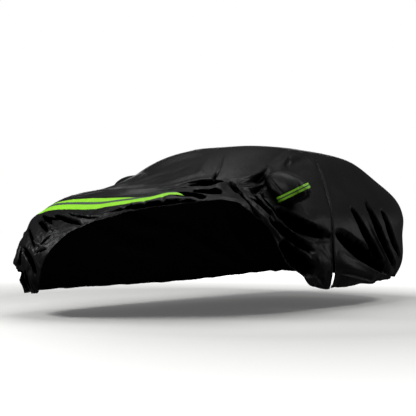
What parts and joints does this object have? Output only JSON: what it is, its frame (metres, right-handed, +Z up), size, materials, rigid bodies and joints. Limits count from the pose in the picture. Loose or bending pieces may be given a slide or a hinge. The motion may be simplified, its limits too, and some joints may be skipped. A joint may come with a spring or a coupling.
{
  "type": "fitted car cover",
  "caption": "Black fitted car cover, draped hollow with its front corner turned back, with mirror pockets, an opened door zip and reflective strips.",
  "frame": {"origin": "underside of the cloth on the roof, on the centre line, over the middle of the wheelbase; the ground is 1.516 m below it", "axes": "+Y to the tail, -Y to the nose, +X to the car's left side, +Z up"},
  "size_m": [2.1792, 4.4974, 1.348],
  "materials": {
    "cover_cloth": "black coated polyester, semi-gloss",
    "pocket_cloth": "black coated polyester, semi-gloss",
    "reflective_strip": "bright green reflective strip",
    "zip_tape": "black woven zip tape",
    "zip_slider": "dark plated zip slider"
  },
  "bodies": {
    "root": {"cover": "cover_cloth", "mirror_pocket_left": "pocket_cloth", "mirror_pocket_right": "pocket_cloth", "bonnet_strip": "reflective_strip", "pocket_strip_left": "reflective_strip", "pocket_strip_right": "reflective_strip", "zip_tape_front": "zip_tape", "zip_tape_rear": "zip_tape", "zip_slider": "zip_slider"}
  },
  "joints": []
}
